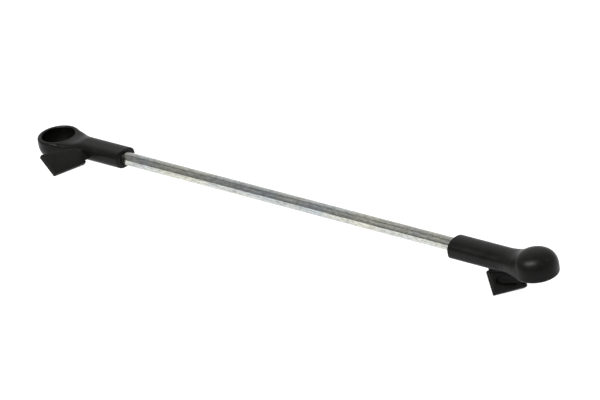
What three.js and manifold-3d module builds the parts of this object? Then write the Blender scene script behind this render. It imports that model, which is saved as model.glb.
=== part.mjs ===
// Linkage stay: a plated steel rod with a moulded ball socket on each end.
// Millimetres. +X runs along the rod, +Z is the way the left socket opens.
// A socket is drawn in its own frame: origin at the ball centre, +X towards
// the rod, +Z out of the mouth. The right one has the same cup and a slightly
// longer sleeve, and is turned half a turn about Y, so it opens downwards.
import * as THREE from "three";
import { mergeVertices } from "three/addons/utils/BufferGeometryUtils.js";
import Module from "manifold-3d";

const wasm = await Module();
wasm.setup();

// Rod and overall length
const BALL_SPACING = 275;
const ROD_RADIUS = 3;
const ROD_INSERT = 13; // from the ball centre to the rod's end face
const GROOVE_DEPTH = 0.45;
const GROOVE_PITCH = 5;
const GROOVE_COUNT = 3;
const END_CHAMFER = 0.6;
const GAP = 0.3;

// Socket cup
const CUP_RADIUS = 9.6;
const CUP_DEPTH = 7.8; // from the ball centre to the closed end
const CUP_SQUARENESS = 0.83; // 1 is a plain ellipse, less is squarer
const RIM_HEIGHT = 3.1; // from the ball centre to the mouth face
const RIM_ROUND = 0.4;
const SEAT_RADIUS = 8.1; // seat of a 16 mm ball
const SEAT_FLOOR = 5.8; // from the ball centre to the flat floor under the ball
const LIP_RADIUS = 7.6; // the lip that the ball is pressed past
const MOUTH_RADIUS = 7.75; // outer end of the lead-in cone

// Sleeve that holds the rod
const SLEEVE_END = { left: 40.4, right: 43.6 };
const SLEEVE_HALF_WIDTH = 6.1;
const SLEEVE_LOW = -4.15; // closed side
const SLEEVE_HIGH = 4.25; // mouth side
const SLEEVE_CORNER = 3.8; // both corners of the closed side
const FAR_CORNER = 4.4; // mouth side, +Y
const NEAR_CORNER = 2; // mouth side, -Y
const WEB_START = 4.2;
const WEB_END = 17;
const WEB_HALF_HEIGHT = 2.7;
const STEP_START = 11; // where the sleeve's top starts to rise from the rim

// Lock flap
const FLAP_LENGTH = 18.5;
const FLAP_WIDTH = 11.5;
const FLAP_TAPER = 3.5; // how much narrower the hinged end is
const PLATE_THICKNESS = 1.2;
const LIP_THICKNESS = 0.8;
const LIP_WIDTH = 1.2;
const PAD_LENGTH = 10.8;
const PAD_WIDTH = 3.2;
const PAD_HEIGHT = 1.1;
const STRIP_THICKNESS = 0.9;
const HINGE_GAP = 0.6; // between the strip and the flap's edge

const ROUND_STEPS = 28;
const SEAT_STEPS = 9;
const WALL_STEPS = 8;
const TURN = 2 * Math.PI;

const plated = { color: 0xa9aba8, roughness: 0.32, metalness: 1 };
const moulded = { color: 0x1d1d1c, roughness: 0.5, metalness: 0 };

// --- solids ---------------------------------------------------------------

function toSolid(geometry) {
  const bare = geometry.index ? geometry.toNonIndexed() : geometry.clone();
  bare.deleteAttribute("normal");
  bare.deleteAttribute("uv");
  const merged = mergeVertices(bare, 1e-4);
  return new wasm.Manifold(
    new wasm.Mesh({
      numProp: 3,
      vertProperties: merged.attributes.position.array,
      triVerts: new Uint32Array(merged.index.array),
    }),
  );
}

function toMesh(name, solid, look) {
  const data = solid.getMesh();
  const geometry = new THREE.BufferGeometry();
  geometry.setAttribute("position", new THREE.BufferAttribute(data.vertProperties, 3));
  geometry.setIndex(new THREE.BufferAttribute(data.triVerts, 1));
  geometry.computeVertexNormals();
  const mesh = new THREE.Mesh(geometry, new THREE.MeshStandardMaterial(look));
  mesh.name = name;
  return mesh;
}

// A closed solid of revolution about +Z from [radius, height] pairs that run
// from the low end to the high end and start and end on the axis.
function turned(profile) {
  const points = profile.map(([radius, height]) => new THREE.Vector2(radius, height));
  return toSolid(new THREE.LatheGeometry(points, ROUND_STEPS).rotateX(Math.PI / 2));
}

function arcProfile(radius, height, from, to, steps) {
  return Array.from({ length: steps + 1 }, (_, i) => {
    const angle = from + ((to - from) * i) / steps;
    return [radius * Math.cos(angle), height * Math.sin(angle)];
  });
}

function roundedRectangle(left, low, right, high, corner) {
  const shape = new THREE.Shape();
  shape.moveTo(left + corner, low);
  shape.lineTo(right - corner, low);
  shape.absarc(right - corner, low + corner, corner, -TURN / 4, 0);
  shape.absarc(right - corner, high - corner, corner, 0, TURN / 4);
  shape.absarc(left + corner, high - corner, corner, TURN / 4, TURN / 2);
  shape.absarc(left + corner, low + corner, corner, TURN / 2, (3 * TURN) / 4);
  return shape;
}

function extruded(shape, from, to) {
  const options = { depth: to - from, bevelEnabled: false, curveSegments: 5 };
  return new THREE.ExtrudeGeometry(shape, options).translate(0, 0, from);
}

// Turns an extrusion along +Z into one along +X, its shape's x on Y, y on Z.
function alongRod(geometry) {
  return toSolid(geometry.rotateX(Math.PI / 2).rotateZ(Math.PI / 2));
}

// --- pieces ---------------------------------------------------------------

function linkRod() {
  const half = BALL_SPACING / 2 - ROD_INSERT;
  const end = [[0, half], [ROD_RADIUS - END_CHAMFER, half], [ROD_RADIUS, half - END_CHAMFER]];
  for (let i = 0; i < GROOVE_COUNT; i += 1) {
    const start = half - 3 - i * GROOVE_PITCH;
    end.push([ROD_RADIUS, start], [ROD_RADIUS - GROOVE_DEPTH, start - 0.5]);
    end.push([ROD_RADIUS - GROOVE_DEPTH, start - 1.5], [ROD_RADIUS, start - 2]);
  }
  const low = end.map(([radius, height]) => [radius, -height]);
  const points = [...low, ...end.reverse()].map(([r, h]) => new THREE.Vector2(r, h));
  return toSolid(new THREE.LatheGeometry(points, ROUND_STEPS).rotateZ(-TURN / 4));
}

function ballCavity() {
  const lipAngle = Math.acos(LIP_RADIUS / SEAT_RADIUS);
  const floorAngle = Math.asin(SEAT_FLOOR / SEAT_RADIUS);
  const seat = arcProfile(SEAT_RADIUS, SEAT_RADIUS, -floorAngle, lipAngle, SEAT_STEPS);
  const past = RIM_HEIGHT + 1;
  return turned([
    [0, -SEAT_FLOOR],
    ...seat,
    [MOUTH_RADIUS, RIM_HEIGHT],
    [MOUTH_RADIUS, past],
    [0, past],
  ]);
}

function cup() {
  const wall = arcProfile(1, 1, -TURN / 4, 0, WALL_STEPS).map(([across, down]) => [
    CUP_RADIUS * across ** CUP_SQUARENESS,
    -CUP_DEPTH * Math.abs(down) ** CUP_SQUARENESS,
  ]);
  wall[0][0] = 0;
  return turned([
    ...wall,
    [CUP_RADIUS, RIM_HEIGHT - RIM_ROUND],
    [CUP_RADIUS - RIM_ROUND, RIM_HEIGHT],
    [0, RIM_HEIGHT],
  ]);
}

// The web fairs the sides of the cup into the sleeve.
function web() {
  const side = Math.sqrt(CUP_RADIUS ** 2 - WEB_START ** 2);
  const outline = new THREE.Shape();
  outline.moveTo(0, -side);
  outline.lineTo(WEB_START, -side);
  outline.lineTo(WEB_END, -SLEEVE_HALF_WIDTH);
  outline.lineTo(WEB_END, SLEEVE_HALF_WIDTH);
  outline.lineTo(WEB_START, side);
  outline.lineTo(0, side);
  outline.closePath();
  return toSolid(extruded(outline, -WEB_HALF_HEIGHT, WEB_HALF_HEIGHT));
}

function sleeve(end) {
  const low = SLEEVE_LOW + SLEEVE_CORNER;
  const lowSide = SLEEVE_HALF_WIDTH - SLEEVE_CORNER;
  const farSide = SLEEVE_HALF_WIDTH - FAR_CORNER;
  const nearSide = SLEEVE_HALF_WIDTH - NEAR_CORNER;
  const section = new THREE.Shape();
  section.moveTo(-lowSide, SLEEVE_LOW);
  section.lineTo(lowSide, SLEEVE_LOW);
  section.absarc(lowSide, low, SLEEVE_CORNER, -TURN / 4, 0);
  section.absarc(farSide, SLEEVE_HIGH - FAR_CORNER, FAR_CORNER, 0, TURN / 4);
  section.absarc(-nearSide, SLEEVE_HIGH - NEAR_CORNER, NEAR_CORNER, TURN / 4, TURN / 2);
  section.absarc(-lowSide, low, SLEEVE_CORNER, TURN / 2, (3 * TURN) / 4);
  return alongRod(extruded(section, CUP_RADIUS / 2, end));
}

function rodBore(end) {
  const start = ROD_INSERT - 1;
  const length = end + 1 - start;
  const drill = new THREE.CylinderGeometry(ROD_RADIUS + GAP, ROD_RADIUS + GAP, length, ROUND_STEPS);
  return toSolid(drill.rotateZ(TURN / 4).translate(start + length / 2, 0, 0));
}

// Everything over the mouth face, up to a ramp that climbs to the sleeve's top.
function overMouth() {
  const high = SLEEVE_HIGH + 1;
  const outline = new THREE.Shape();
  outline.moveTo(-2 * CUP_RADIUS, RIM_HEIGHT);
  outline.lineTo(STEP_START, RIM_HEIGHT);
  outline.lineTo(WEB_END, high);
  outline.lineTo(-2 * CUP_RADIUS, high);
  outline.closePath();
  const wide = 2 * CUP_RADIUS;
  return toSolid(extruded(outline, -wide, wide).rotateX(Math.PI / 2));
}

function socketBody(side) {
  const end = SLEEVE_END[side];
  const outside = cup().add(web()).add(sleeve(end)).subtract(overMouth());
  return outside.subtract(ballCavity()).subtract(rodBore(end));
}

// The flap lies in its own X-Y plane. Its end at X = 0 is the narrow one. Its
// raised lip and locking pad stand on the -Z side.
function flapOutline(inset) {
  const slope = FLAP_TAPER / FLAP_LENGTH;
  const nearY = FLAP_TAPER - slope * inset + inset * Math.hypot(1, slope);
  const farY = slope * inset + inset * Math.hypot(1, slope);
  const outline = new THREE.Shape();
  outline.moveTo(inset, nearY);
  outline.lineTo(FLAP_LENGTH - inset, farY);
  outline.lineTo(FLAP_LENGTH - inset, FLAP_WIDTH - inset);
  outline.lineTo(inset, FLAP_WIDTH - inset);
  outline.closePath();
  return outline;
}

// A long triangular bar that bevels the flap's back along one straight edge.
function edgeBevel() {
  const outline = new THREE.Shape();
  outline.moveTo(-1, -PLATE_THICKNESS);
  outline.lineTo(0, -PLATE_THICKNESS);
  outline.lineTo(LIP_WIDTH - GAP, -PLATE_THICKNESS - LIP_THICKNESS - GAP / 2);
  outline.lineTo(LIP_WIDTH - GAP, -PLATE_THICKNESS - LIP_THICKNESS - 1);
  outline.lineTo(-1, -PLATE_THICKNESS - LIP_THICKNESS - 1);
  outline.closePath();
  return extruded(outline, -1, FLAP_LENGTH + 1).rotateX(TURN / 4);
}

function lockFlap() {
  const back = -PLATE_THICKNESS;
  const padX = (FLAP_LENGTH - PAD_LENGTH) / 2;
  const padY = (FLAP_WIDTH + FLAP_TAPER / 2 - PAD_WIDTH) / 2;
  const pad = roundedRectangle(
    padX,
    padY,
    padX + PAD_LENGTH,
    padY + PAD_WIDTH,
    PAD_WIDTH / 2 - 0.01,
  );
  const endBevel = edgeBevel().translate(0, FLAP_LENGTH, 0);
  const sideBevel = edgeBevel().rotateZ(-TURN / 4).translate(FLAP_LENGTH, FLAP_WIDTH, 0);
  return toSolid(extruded(flapOutline(0), back - LIP_THICKNESS, 0))
    .subtract(toSolid(extruded(flapOutline(LIP_WIDTH), back - LIP_THICKNESS - 1, back)))
    .subtract(toSolid(endBevel))
    .subtract(toSolid(sideBevel))
    .add(toSolid(extruded(pad, back - PAD_HEIGHT, back + GAP)));
}

// The film hinge: a thin strip in the flap's plane, from the socket to the
// flap's edge.
function hingeStrip(corners) {
  const outline = new THREE.Shape(corners.map(([x, y]) => new THREE.Vector2(x, y)));
  return toSolid(extruded(outline, -PLATE_THICKNESS, STRIP_THICKNESS - PLATE_THICKNESS));
}

// --- assembly -------------------------------------------------------------

// Where each flap hangs, in its socket's frame: a corner, the way its long edge
// runs and roughly the way its short edge runs. The right flap is turned half
// round in its own plane, so it hangs by its long edge. The strip's outline is in
// the flap's plane.
const FLAP_PLACES = {
  left: {
    corner: [16.01, -7.53, 6.04],
    along: [-0.08, -0.99, 0.122],
    across: [0.782, -0.137, -0.607],
    halfTurn: false,
    strip: [[-HINGE_GAP, 5], [-HINGE_GAP, 10], [-2.5, 10], [-1.8, 5]],
  },
  right: {
    corner: [25.75, -3.65, 6.48],
    along: [-0.225, 0.899, 0.377],
    across: [-0.587, -0.434, 0.682],
    halfTurn: true,
    strip: [[6, -HINGE_GAP], [1.6, -HINGE_GAP], [1.6, -2.35], [6, -4.9]],
  },
};

function flapFrame({ corner, along, across }) {
  const x = new THREE.Vector3(...along).normalize();
  const z = x.clone().cross(new THREE.Vector3(...across)).normalize();
  const y = z.clone().cross(x);
  const frame = new THREE.Group();
  frame.quaternion.setFromRotationMatrix(new THREE.Matrix4().makeBasis(x, y, z));
  frame.position.set(...corner);
  return frame;
}

function endFitting(side) {
  const place = FLAP_PLACES[side];
  const fitting = new THREE.Group();
  fitting.add(toMesh(side + "_socket_body", socketBody(side), moulded));
  const frame = flapFrame(place);
  const flap = toMesh(side + "_lock_flap", lockFlap(), moulded);
  if (place.halfTurn) {
    flap.position.set(FLAP_LENGTH, FLAP_WIDTH, 0);
    flap.rotation.z = Math.PI;
  }
  frame.add(flap);
  frame.add(toMesh(side + "_film_hinge", hingeStrip(place.strip), moulded));
  fitting.add(frame);
  return fitting;
}

const stay = new THREE.Group();
stay.add(toMesh("link_rod", linkRod(), plated));

const leftEnd = endFitting("left");
leftEnd.position.x = -BALL_SPACING / 2;
stay.add(leftEnd);

const rightEnd = endFitting("right");
rightEnd.position.x = BALL_SPACING / 2;
rightEnd.rotation.y = Math.PI;
stay.add(rightEnd);

// The part's origin is the middle of its box.
const middle = new THREE.Box3().setFromObject(stay, true).getCenter(new THREE.Vector3());
stay.position.sub(middle);

export default stay;
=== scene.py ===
"""Looks of the ball-socket stay rod: a drawn, zinc-plated steel rod with a black
moulded ball socket and a hanging lock flap on each end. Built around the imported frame."""

import math

import bmesh
import bpy
from mathutils import Matrix, Vector


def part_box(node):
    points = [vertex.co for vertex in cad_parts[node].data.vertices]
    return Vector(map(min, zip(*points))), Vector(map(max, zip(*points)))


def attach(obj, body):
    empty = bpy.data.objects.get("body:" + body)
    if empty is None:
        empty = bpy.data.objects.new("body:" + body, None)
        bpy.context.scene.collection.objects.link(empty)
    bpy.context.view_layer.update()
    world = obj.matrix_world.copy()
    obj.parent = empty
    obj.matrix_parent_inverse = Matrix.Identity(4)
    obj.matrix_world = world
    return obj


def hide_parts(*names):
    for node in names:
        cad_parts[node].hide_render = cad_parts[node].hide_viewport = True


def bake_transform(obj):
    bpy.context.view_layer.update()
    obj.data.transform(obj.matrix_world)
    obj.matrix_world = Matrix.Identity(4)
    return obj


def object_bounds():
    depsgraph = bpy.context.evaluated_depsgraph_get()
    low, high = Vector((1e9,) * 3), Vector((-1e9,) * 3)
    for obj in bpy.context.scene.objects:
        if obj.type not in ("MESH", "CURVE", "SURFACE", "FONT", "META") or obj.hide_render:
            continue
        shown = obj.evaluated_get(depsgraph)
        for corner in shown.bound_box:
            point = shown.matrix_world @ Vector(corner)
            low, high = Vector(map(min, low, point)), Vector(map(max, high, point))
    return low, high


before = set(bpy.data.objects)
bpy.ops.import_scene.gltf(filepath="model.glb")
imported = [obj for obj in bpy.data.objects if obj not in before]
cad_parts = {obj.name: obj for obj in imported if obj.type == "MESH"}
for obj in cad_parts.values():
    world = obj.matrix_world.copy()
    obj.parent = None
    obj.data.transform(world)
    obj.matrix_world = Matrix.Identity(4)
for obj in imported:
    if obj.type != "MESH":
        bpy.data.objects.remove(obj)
cad_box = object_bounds()

MM = 0.001
QUARTER = math.pi / 2
ROUND_STEPS = 96

# --- sizes, in millimetres ---------------------------------------------------

CUP_RADIUS = 9.6
CUP_DEPTH = 7.8
CUP_SQUARENESS = 0.83
RIM_HEIGHT = 3.1
RIM_ROUND_DOWN = 0.5
RIM_ROUND_IN = 0.35
SEAT_RADIUS = 8.1
SEAT_FLOOR = 5.8
LIP_RADIUS = 7.6
MOUTH_RADIUS = 7.85
MOUTH_FLARE = 0.3
SLEEVE_END = {"left": 40.4, "right": 43.6}
SLEEVE_HALF_WIDTH = 6.1
SLEEVE_LOW = -4.15
SLEEVE_HIGH = 4.25
LOW_SQUARENESS = 0.92
NEAR_SQUARENESS = 0.5
FAR_SQUARENESS = 0.85
WEB_SQUARENESS = 0.32
SLEEVE_SPARE = 1.5
WEB_END = 17.0
STEP_START = 11.0
ROD_RADIUS = 3.0
ROD_INSERT = 13.0
GROOVE_COUNT = 3
GROOVE_START = 3.0
GROOVE_PITCH = 5.0
GROOVE_WIDTH = 2.0
GROOVE_SLOPE = 0.5
GROOVE_DEPTH = 0.45
BORE_PLAY = 0.02
BORE_SPARE = 0.4
BORE_CHAMFER = 0.2
TOOL_REACH = 1.0
TRIM_BLOCK = 40.0
VOXEL = 0.3
SOFTENING_ROUNDS = 16
FLAP_LENGTH = 18.5
FLAP_WIDTH = 11.5
FLAP_TAPER = 3.5
FLAP_THICKNESS = 2.0
WELL_DEPTH = 0.8
WELL_MARGIN = 1.2
FLAP_CORNER = 0.7
FLAP_EDGE_ROUND = 0.25
PAD_LENGTH = 10.8
PAD_WIDTH = 3.2
PAD_HEIGHT = 1.1
PAD_SINK = 0.1
STRIP_LOW = -1.2
STRIP_THICKNESS = 0.9
STRIP_EDGE_ROUND = 0.12
STRIP_CUTS = 5

# --- places, from the frame ---------------------------------------------------

rod_low, rod_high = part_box("link_rod")
ROD_MIDDLE = (rod_low + rod_high) / 2
HALF_SPACING = (rod_high.x - rod_low.x) / 2 + ROD_INSERT * MM

SOCKET_PLACE = {
    "left": Matrix.Translation(ROD_MIDDLE - Vector((HALF_SPACING, 0, 0))),
    "right": Matrix.Translation(ROD_MIDDLE + Vector((HALF_SPACING, 0, 0)))
    @ Matrix.Rotation(math.pi, 4, "Y"),
}

# Where each flap hangs, in its socket's frame: its corner, the way its long edge
# runs, and roughly the way its short edge runs. In the flap's own plane: the outline
# of its film hinge, and the middles of the hinge's ends at the socket and at the flap.
FLAP_PLACE = {
    "left": {
        "corner": (16.01, -7.53, 6.04),
        "along": (-0.08, -0.99, 0.122),
        "across": (0.782, -0.137, -0.607),
        "half_turn": False,
        "strip": ((0.3, 5), (0.3, 10), (-2.9, 10), (-2.2, 5)),
        "strip_start": (-0.9, 7.5),
        "strip_end": (0.1, 7.5),
    },
    "right": {
        "corner": (25.75, -3.65, 6.48),
        "along": (-0.225, 0.899, 0.377),
        "across": (-0.587, -0.434, 0.682),
        "half_turn": True,
        "strip": ((6, 0.3), (1.6, 0.3), (1.6, -2.7), (6, -5.3)),
        "strip_start": (3.8, -0.9),
        "strip_end": (3.8, 0.1),
    },
}


# --- mesh helpers -------------------------------------------------------------

def to_object(name, bm):
    """Makes a smooth-shaded object, with its millimetres turned into metres."""
    mesh = bpy.data.meshes.new(name)
    bmesh.ops.recalc_face_normals(bm, faces=bm.faces)
    bm.to_mesh(mesh)
    bm.free()
    mesh.transform(Matrix.Scale(MM, 4))
    mesh.shade_smooth()
    piece = bpy.data.objects.new(name, mesh)
    bpy.context.scene.collection.objects.link(piece)
    return piece


def spun(profile):
    """A closed solid of revolution about Z. The profile starts and ends on the axis."""
    bm = bmesh.new()
    verts = [bm.verts.new((radius, 0, height)) for radius, height in profile]
    edges = [bm.edges.new(pair) for pair in zip(verts, verts[1:])]
    bmesh.ops.spin(
        bm,
        geom=verts + edges,
        cent=(0, 0, 0),
        axis=(0, 0, 1),
        angle=math.tau,
        steps=ROUND_STEPS,
        use_merge=True,
    )
    bmesh.ops.remove_doubles(bm, verts=bm.verts, dist=1e-4)
    return bm


def arc(radius, height, start, end, steps):
    """Points on an elliptical arc, as (radius, height) pairs."""
    angles = [start + (end - start) * i / steps for i in range(steps + 1)]
    return [(radius * math.cos(a), height * math.sin(a)) for a in angles]


def bevel_edges(bm, edges, width, segments):
    bmesh.ops.bevel(
        bm,
        geom=edges,
        offset=width,
        affect="EDGES",
        segments=segments,
        profile=0.5,
        material=-1,
    )


def apply_modifiers(piece):
    bpy.context.view_layer.update()
    depsgraph = bpy.context.evaluated_depsgraph_get()
    finished = bpy.data.meshes.new_from_object(piece.evaluated_get(depsgraph))
    old = piece.data
    piece.modifiers.clear()
    piece.data = finished
    bpy.data.meshes.remove(old)
    finished.name = piece.name


def cut(piece, tool):
    """Takes the tool out of the piece and removes the tool."""
    modifier = piece.modifiers.new("cut", "BOOLEAN")
    modifier.operation = "DIFFERENCE"
    modifier.solver = "EXACT"
    modifier.object = tool
    apply_modifiers(piece)
    bpy.data.objects.remove(tool)


def smooth_by_angle(piece, degrees):
    piece.data.shade_smooth()
    piece.data.set_sharp_from_angle(angle=math.radians(degrees))


def settle(piece, place, body, nodes):
    """Puts the piece where it belongs and ties it to the frame."""
    piece.data.transform(place)
    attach(piece, body)
    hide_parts(*nodes)


# --- materials ------------------------------------------------------------------

PLASTIC_DARK = (0.003, 0.0029, 0.0027)
PLASTIC_LIGHT = (0.0056, 0.0054, 0.005)
PLASTIC_WORN = (0.011, 0.0108, 0.0105, 1)
PLASTIC_DUST = (0.0095, 0.0095, 0.0092, 1)

def fill_ramp(ramp, stops):
    """Sets a colour ramp's (position, colour or grey) stops."""
    elements = ramp.color_ramp.elements
    while len(elements) < len(stops):
        elements.new(0.5)
    for element, (position, value) in zip(elements, stops):
        element.position = position
        colour = value if isinstance(value, tuple) else (value, value, value)
        element.color = (*colour, 1)


class Look:
    """A node material with short calls for the nodes that these finishes share."""

    def __init__(self, name):
        self.material = bpy.data.materials.new(name)
        self.material.use_nodes = True
        self.tree = self.material.node_tree
        self.shader = self.tree.nodes["Principled BSDF"]
        self.place = self.tree.nodes.new("ShaderNodeTexCoord").outputs["Object"]

    def link(self, output, socket):
        self.tree.links.new(output, socket)
        return output

    def noise(self, stretch, detail=4.0, roughness=0.55):
        mapping = self.tree.nodes.new("ShaderNodeMapping")
        mapping.inputs["Scale"].default_value = stretch
        self.link(self.place, mapping.inputs["Vector"])
        noise = self.tree.nodes.new("ShaderNodeTexNoise")
        noise.inputs["Scale"].default_value = 1.0
        noise.inputs["Detail"].default_value = detail
        noise.inputs["Roughness"].default_value = roughness
        self.link(mapping.outputs["Vector"], noise.inputs["Vector"])
        return noise.outputs["Fac"]

    def ramp(self, factor, *stops):
        ramp = self.tree.nodes.new("ShaderNodeValToRGB")
        fill_ramp(ramp, stops)
        self.link(factor, ramp.inputs["Fac"])
        return ramp.outputs["Color"]

    def mix(self, factor, a, b, blend="MIX"):
        mix = self.tree.nodes.new("ShaderNodeMix")
        mix.data_type = "RGBA"
        mix.blend_type = blend
        for value, socket in ((factor, 0), (a, 6), (b, 7)):
            if hasattr(value, "links"):
                self.link(value, mix.inputs[socket])
            else:
                mix.inputs[socket].default_value = value
        return mix.outputs[2]

    def bump(self, height, strength, distance, under=None):
        bump = self.tree.nodes.new("ShaderNodeBump")
        bump.inputs["Strength"].default_value = strength
        bump.inputs["Distance"].default_value = distance
        self.link(height, bump.inputs["Height"])
        if under:
            self.link(under, bump.inputs["Normal"])
        return bump.outputs["Normal"]

    def edge_wear(self):
        geometry = self.tree.nodes.new("ShaderNodeNewGeometry")
        return self.ramp(geometry.outputs["Pointiness"], (0.55, 0.0), (0.62, 1.0))


def plated_steel():
    look = Look("drawn_zinc_plate")
    lines = look.noise((25, 2600, 2600), detail=3)
    streaks = look.noise((14, 900, 900), detail=2)
    speckle = look.noise((1900, 1900, 1900), detail=2, roughness=0.7)
    mottle = look.noise((420, 1500, 1500), detail=3, roughness=0.7)
    clouds = look.noise((38, 60, 60), detail=2)
    tint = look.ramp(clouds, (0.38, (0.47, 0.50, 0.51)), (0.62, (0.53, 0.53, 0.47)))
    drawn = look.ramp(lines, (0.38, 0.72), (0.62, 1.0))
    spots = look.ramp(speckle, (0.34, 0.7), (0.47, 1.0))
    patches = look.ramp(mottle, (0.36, 0.62), (0.5, 1.0), (0.64, 1.3))
    colour = look.mix(0.4, tint, drawn, "MULTIPLY")
    colour = look.mix(0.45, colour, spots, "MULTIPLY")
    colour = look.mix(0.8, colour, patches, "MULTIPLY")
    drawn_streaks = look.ramp(streaks, (0.36, 0.6), (0.6, 1.1))
    colour = look.mix(0.5, colour, drawn_streaks, "MULTIPLY")
    look.link(colour, look.shader.inputs["Base Color"])
    drawn_rough = look.ramp(streaks, (0.3, 0.14), (0.7, 0.24))
    pitted_rough = look.ramp(speckle, (0.3, 0.3), (0.6, 0.14))
    rough = look.mix(0.5, drawn_rough, pitted_rough)
    look.link(rough, look.shader.inputs["Roughness"])
    normal = look.bump(lines, 0.35, 0.00002)
    normal = look.bump(mottle, 0.3, 0.00006, normal)
    look.link(look.bump(speckle, 0.25, 0.00002, normal), look.shader.inputs["Normal"])
    look.shader.inputs["Metallic"].default_value = 1.0
    return look.material


def moulded_plastic(name, rough_low, rough_high):
    look = Look(name)
    clouds = look.noise((220, 220, 220), detail=4)
    grain = look.noise((4200, 4200, 4200), detail=2, roughness=0.6)
    scuffs = look.noise((180, 1500, 900), detail=3, roughness=0.7)
    base = look.ramp(clouds, (0.3, PLASTIC_DARK), (0.72, PLASTIC_LIGHT))
    worn = look.mix(look.edge_wear(), base, PLASTIC_WORN)
    dust = look.ramp(scuffs, (0.6, 0.0), (0.78, 0.35))
    colour = look.mix(dust, worn, PLASTIC_DUST)
    look.link(colour, look.shader.inputs["Base Color"])
    patchy_rough = look.ramp(clouds, (0.3, rough_low), (0.7, rough_high))
    scuffed_rough = look.ramp(scuffs, (0.4, rough_low), (0.7, rough_high))
    rough = look.mix(0.35, patchy_rough, scuffed_rough)
    look.link(rough, look.shader.inputs["Roughness"])
    normal = look.bump(grain, 0.22, 0.00003)
    look.link(look.bump(clouds, 0.12, 0.0002, normal), look.shader.inputs["Normal"])
    look.shader.inputs["Specular IOR Level"].default_value = 0.1
    return look.material


# --- pieces -----------------------------------------------------------------------

def link_rod(look):
    half = HALF_SPACING / MM - ROD_INSERT
    end = [
        (0, half),
        (ROD_RADIUS - 0.6, half),
        (ROD_RADIUS - 0.15, half - 0.3),
        (ROD_RADIUS, half - 0.7),
    ]
    root = ROD_RADIUS - GROOVE_DEPTH
    for groove in range(GROOVE_COUNT):
        start = half - GROOVE_START - GROOVE_PITCH * groove
        finish = start - GROOVE_WIDTH
        end += [(ROD_RADIUS, start), (root, start - GROOVE_SLOPE)]
        end += [(root, finish + GROOVE_SLOPE), (ROD_RADIUS, finish)]
    low = [(radius, -height) for radius, height in end]
    bm = spun(low + end[::-1])
    bmesh.ops.rotate(bm, verts=bm.verts, matrix=Matrix.Rotation(QUARTER, 3, "Y"))
    piece = to_object("plated_rod", bm)
    smooth_by_angle(piece, 35)
    piece.data.materials.append(look)
    settle(piece, Matrix.Translation(ROD_MIDDLE), "link", ["link_rod"])


def cup_mass():
    wall = [(0, -CUP_DEPTH)]
    for across, down in arc(1, 1, -QUARTER, 0, 24)[1:]:
        height = -CUP_DEPTH * abs(down) ** CUP_SQUARENESS
        wall.append((CUP_RADIUS * across**CUP_SQUARENESS, height))
    top = [
        (CUP_RADIUS, RIM_HEIGHT - RIM_ROUND_DOWN),
        (CUP_RADIUS - RIM_ROUND_IN, RIM_HEIGHT),
        (0, RIM_HEIGHT),
    ]
    return spun(wall + top)


def section(vert, x, half_width, low, high, web):
    """Moves a unit circle's point onto the sleeve's section. Squareness is the curve's
    power: 1 is round, and less is squarer."""
    angle = math.atan2(vert.co.y, vert.co.x)
    sleeve_power = FAR_SQUARENESS if abs(angle) < QUARTER else NEAR_SQUARENESS
    mouth_power = sleeve_power + (WEB_SQUARENESS - sleeve_power) * web
    power = mouth_power if angle > 0 else LOW_SQUARENESS
    reach = high if angle > 0 else -low
    across = math.copysign(abs(math.cos(angle)) ** power, math.cos(angle))
    up = math.copysign(abs(math.sin(angle)) ** power, math.sin(angle))
    vert.co = (x, half_width * across, reach * up)


def add_loft(bm, stations):
    """Joins sections at (x, half width, low, high, web) stations into one closed skin.
    The last value is 1 for the web's square mouth-side edge and 0 for the plain sleeve."""
    rings = []
    caps = []
    for station in stations:
        made = bmesh.ops.create_circle(bm, segments=64, radius=1)["verts"]
        for vert in made:
            section(vert, *station)
        rings.append(list({edge for vert in made for edge in vert.link_edges}))
        caps.append(made)
    for near, far in zip(rings, rings[1:]):
        bmesh.ops.bridge_loops(bm, edges=near + far)
    bmesh.ops.contextual_create(bm, geom=caps[0])
    bmesh.ops.contextual_create(bm, geom=caps[-1])


def sleeve_mass(end):
    bm = bmesh.new()
    width, low, high = SLEEVE_HALF_WIDTH, SLEEVE_LOW, SLEEVE_HIGH
    stations = [
        (0.5, 9.5, -6.4, RIM_HEIGHT, 1),
        (2.0, 9.36, -6.4, RIM_HEIGHT, 1),
        (4.0, 8.9, -6.4, RIM_HEIGHT, 1),
        (6.5, 8.25, -6.1, RIM_HEIGHT, 1),
        (8.0, 7.9, -5.5, RIM_HEIGHT, 0.9),
        (9.5, 7.5, -4.95, RIM_HEIGHT, 0.8),
        (STEP_START, 7.1, -4.6, RIM_HEIGHT + 0.1, 0.6),
        (13.0, 6.6, -4.3, 3.5, 0.35),
        (15.2, 6.25, low, 4.0, 0.1),
        (WEB_END, width, low, high, 0),
        (22.0, width, low, high, 0),
        (end + SLEEVE_SPARE, width, low, high, 0),
    ]
    add_loft(bm, stations)
    return bm


def ball_cavity():
    lip_angle = math.acos(LIP_RADIUS / SEAT_RADIUS)
    floor_angle = math.asin(SEAT_FLOOR / SEAT_RADIUS)
    seat = arc(SEAT_RADIUS, SEAT_RADIUS, -floor_angle, lip_angle, 24)
    past = RIM_HEIGHT + TOOL_REACH
    lead_in = [(MOUTH_RADIUS, RIM_HEIGHT), (MOUTH_RADIUS + MOUTH_FLARE, past), (0, past)]
    return spun([(0, -SEAT_FLOOR)] + seat + lead_in)


def rod_bore(end):
    start = ROD_INSERT - BORE_SPARE
    past = end + TOOL_REACH
    radius = ROD_RADIUS + BORE_PLAY
    chamfer = [
        (radius, end - BORE_CHAMFER),
        (radius + BORE_CHAMFER, end),
        (radius + 2 * BORE_CHAMFER, past),
    ]
    bm = spun([(0, start), (radius, start)] + chamfer + [(0, past)])
    bmesh.ops.rotate(bm, verts=bm.verts, matrix=Matrix.Rotation(QUARTER, 3, "Y"))
    return bm


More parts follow.
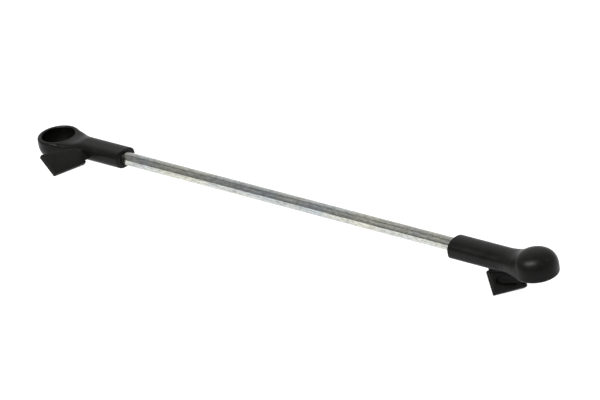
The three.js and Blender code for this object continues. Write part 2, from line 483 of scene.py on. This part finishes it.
def end_trim(end):
    """A block past the sleeve's end, which leaves its end face flat."""
    bm = bmesh.new()
    bmesh.ops.create_cube(bm, size=TRIM_BLOCK)
    bmesh.ops.translate(bm, verts=bm.verts, vec=(end + TRIM_BLOCK / 2, 0, 0))
    return bm


def socket_body(side, look):
    """One moulding: the masses are fused, their inner corners filled, then hollowed."""
    bm = cup_mass()
    extra = bpy.data.meshes.new("sleeve_mass")
    sleeve = sleeve_mass(SLEEVE_END[side])
    bmesh.ops.recalc_face_normals(sleeve, faces=sleeve.faces)
    sleeve.to_mesh(extra)
    sleeve.free()
    bmesh.ops.recalc_face_normals(bm, faces=bm.faces)
    bm.from_mesh(extra)
    bpy.data.meshes.remove(extra)
    piece = to_object(side + "_socket", bm)
    fuse = piece.modifiers.new("fuse", "REMESH")
    fuse.mode = "VOXEL"
    fuse.voxel_size = VOXEL * MM
    soften = piece.modifiers.new("soften", "SMOOTH")
    soften.factor = 0.5
    soften.iterations = SOFTENING_ROUNDS
    apply_modifiers(piece)
    cut(piece, to_object("ball_tool", ball_cavity()))
    cut(piece, to_object("bore_tool", rod_bore(SLEEVE_END[side])))
    cut(piece, to_object("end_tool", end_trim(SLEEVE_END[side])))
    smooth_by_angle(piece, 40)
    piece.data.materials.clear()
    piece.data.materials.append(look)
    settle(piece, SOCKET_PLACE[side], "link", [side + "_socket_body"])


def flap_place(side):
    """The frame of the flap's plane, which the film hinge shares."""
    place = FLAP_PLACE[side]
    x = Vector(place["along"]).normalized()
    z = x.cross(Vector(place["across"])).normalized()
    y = z.cross(x)
    turn = Matrix((x, y, z)).transposed().to_4x4()
    return SOCKET_PLACE[side] @ Matrix.Translation(Vector(place["corner"]) * MM) @ turn


def half_turn():
    middle = Matrix.Translation((FLAP_LENGTH * MM, FLAP_WIDTH * MM, 0))
    return middle @ Matrix.Rotation(math.pi, 4, "Z")


def raised(bm, face, height):
    """Lifts a copy of the face and joins it to the original's edge."""
    made = bmesh.ops.extrude_face_region(bm, geom=[face])["geom"]
    lifted = [item for item in made if isinstance(item, bmesh.types.BMVert)]
    bmesh.ops.translate(bm, verts=lifted, vec=(0, 0, height))


def plate():
    """The flap's tapered plate with the shallow well in its back."""
    bm = bmesh.new()
    outline = ((0, FLAP_TAPER), (FLAP_LENGTH, 0), (FLAP_LENGTH, FLAP_WIDTH), (0, FLAP_WIDTH))
    back = bm.faces.new([bm.verts.new((x, y, -FLAP_THICKNESS)) for x, y in outline])
    raised(bm, back, FLAP_THICKNESS)
    corners = [edge for edge in bm.edges if edge.verts[0].co.z != edge.verts[1].co.z]
    under = min(bm.faces, key=lambda face: face.calc_center_median().z)
    bmesh.ops.recalc_face_normals(bm, faces=bm.faces)
    bmesh.ops.inset_region(bm, faces=[under], thickness=WELL_MARGIN, use_even_offset=True)
    well = bmesh.ops.extrude_discrete_faces(bm, faces=[under])["faces"][0]
    bmesh.ops.translate(bm, verts=well.verts, vec=(0, 0, WELL_DEPTH))
    bevel_edges(bm, corners, FLAP_CORNER, 5)
    return bm


def add_pad(bm):
    """The round-ended locking pad that stands in the well."""
    radius = PAD_WIDTH / 2
    reach = PAD_LENGTH / 2 - radius
    middle = (FLAP_LENGTH / 2, (FLAP_WIDTH + FLAP_TAPER / 2) / 2)
    made = bmesh.ops.create_circle(bm, cap_ends=True, segments=32, radius=radius)["verts"]
    for vert in made:
        x = vert.co.x + math.copysign(reach, vert.co.x)
        vert.co = (middle[0] + x, middle[1] + vert.co.y, WELL_DEPTH - FLAP_THICKNESS + PAD_SINK)
    face = made[0].link_faces[0]
    raised(bm, face, -PAD_HEIGHT - PAD_SINK)


def soften_edges(piece, width):
    soften = piece.modifiers.new("edges", "BEVEL")
    soften.width = width * MM
    soften.segments = 3
    soften.limit_method = "ANGLE"
    soften.angle_limit = math.radians(40)
    apply_modifiers(piece)
    smooth_by_angle(piece, 40)


def lock_flap(side, look):
    bm = plate()
    add_pad(bm)
    piece = to_object(side + "_flap", bm)
    soften_edges(piece, FLAP_EDGE_ROUND)
    piece.data.materials.append(look)
    place = flap_place(side)
    if FLAP_PLACE[side]["half_turn"]:
        place = place @ half_turn()
    settle(piece, place, side + "_flap", [side + "_lock_flap"])


def film_hinge(side, look):
    """The thin strip between the socket and the flap."""
    spot = FLAP_PLACE[side]
    bm = bmesh.new()
    under = bm.faces.new([bm.verts.new((x, y, STRIP_LOW)) for x, y in spot["strip"]])
    raised(bm, under, STRIP_THICKNESS)
    bmesh.ops.subdivide_edges(bm, edges=bm.edges, cuts=STRIP_CUTS, use_grid_fill=True)
    piece = to_object(side + "_strip", bm)
    soften_edges(piece, STRIP_EDGE_ROUND)
    piece.data.materials.append(look)
    place = flap_place(side)
    piece.data.transform(place)
    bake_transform(piece)
    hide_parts(side + "_film_hinge")


# --- studio -------------------------------------------------------------------------

VIEW_BACK = Vector((0.6346, -0.6309, 0.4464)).normalized()
VIEW_RIGHT = Vector((-0.197, 0.4265, 0.8828)).cross(VIEW_BACK).normalized()
VIEW_UP = VIEW_BACK.cross(VIEW_RIGHT)
VIEW_DISTANCE = 2.512
LENS = 350.0
AIM_RIGHT = 0.00445
AIM_UP = 0.00059

# The sky's brightness by the turn round the rod's axis, in half turns: from the far
# horizon, over the top, to the near horizon. The near side is darker, with darker edges.
SKY = (
    (0.0, 0.8),
    (0.2, 0.86),
    (0.44, 0.74),
    (0.49, 0.14),
    (0.56, 0.4),
    (0.88, 0.4),
    (0.95, 0.12),
    (1.0, 0.5),
)

LIGHT_PLACE = Vector((0.0, -0.7, 1.2))
LIGHT_SIZE = (1.0, 0.36)
LIGHT_POWER = 30
FLOOR_DROP = 0.0005
FLOOR_GLOW = 0.92


def add_camera():
    data = bpy.data.cameras.new("camera")
    data.lens = LENS
    data.sensor_width = 36
    camera = bpy.data.objects.new("camera", data)
    aim = ROD_MIDDLE + VIEW_RIGHT * AIM_RIGHT + VIEW_UP * AIM_UP
    turn = Matrix((VIEW_RIGHT, VIEW_UP, VIEW_BACK)).transposed().to_4x4()
    camera.matrix_world = Matrix.Translation(aim + VIEW_BACK * VIEW_DISTANCE) @ turn
    bpy.context.scene.collection.objects.link(camera)
    bpy.context.scene.camera = camera


def add_floor():
    bm = bmesh.new()
    bmesh.ops.create_grid(bm, x_segments=1, y_segments=1, size=4000)
    floor = to_object("floor", bm)
    floor.data.transform(Matrix.Translation((0, 0, cad_box[0][2] - FLOOR_DROP)))
    white = Look("floor_white")
    tone = white.noise((3, 3, 3))
    white.link(white.ramp(tone, (0.3, 0.22), (0.7, 0.24)), white.shader.inputs["Base Color"])
    white.shader.inputs["Roughness"].default_value = 0.9
    white.shader.inputs["Emission Color"].default_value = (1, 1, 1, 1)
    white.shader.inputs["Emission Strength"].default_value = FLOOR_GLOW
    floor.data.materials.append(white.material)


def add_sky():
    """A soft sky whose brightness turns about the rod's axis."""
    world = bpy.data.worlds.new("studio")
    world.use_nodes = True
    tree = world.node_tree
    direction = tree.nodes.new("ShaderNodeTexCoord").outputs["Generated"]
    parts = tree.nodes.new("ShaderNodeSeparateXYZ")
    tree.links.new(direction, parts.inputs[0])
    turn = tree.nodes.new("ShaderNodeMath")
    turn.operation = "ARCTAN2"
    tree.links.new(parts.outputs["Z"], turn.inputs[0])
    tree.links.new(parts.outputs["Y"], turn.inputs[1])
    half_turns = tree.nodes.new("ShaderNodeMath")
    half_turns.operation = "DIVIDE"
    half_turns.inputs[1].default_value = math.pi
    tree.links.new(turn.outputs[0], half_turns.inputs[0])
    ramp = tree.nodes.new("ShaderNodeValToRGB")
    fill_ramp(ramp, SKY)
    tree.links.new(half_turns.outputs[0], ramp.inputs["Fac"])
    tree.links.new(ramp.outputs["Color"], tree.nodes["Background"].inputs["Color"])
    bpy.context.scene.world = world


def add_light():
    """A long soft box over the near side, turned to face the rod's middle."""
    data = bpy.data.lights.new("dome_box", "AREA")
    data.shape = "RECTANGLE"
    data.size, data.size_y = LIGHT_SIZE
    data.energy = LIGHT_POWER
    light = bpy.data.objects.new("dome_box", data)
    light.location = LIGHT_PLACE
    back = (LIGHT_PLACE - ROD_MIDDLE).normalized()
    across = (VIEW_RIGHT - back * VIEW_RIGHT.dot(back)).normalized()
    turn = Matrix((across, back.cross(across), back)).transposed()
    light.rotation_euler = turn.to_euler()
    bpy.context.scene.collection.objects.link(light)


def studio():
    bpy.context.scene.view_settings.view_transform = "Standard"
    add_camera()
    add_floor()
    add_sky()
    add_light()


def main():
    steel = plated_steel()
    plastic = moulded_plastic("black_moulding", 0.3, 0.42)
    flap_plastic = moulded_plastic("black_flap", 0.42, 0.55)
    studio()
    link_rod(steel)
    for side in ("left", "right"):
        socket_body(side, plastic)
        lock_flap(side, flap_plastic)
        film_hinge(side, flap_plastic)


main()
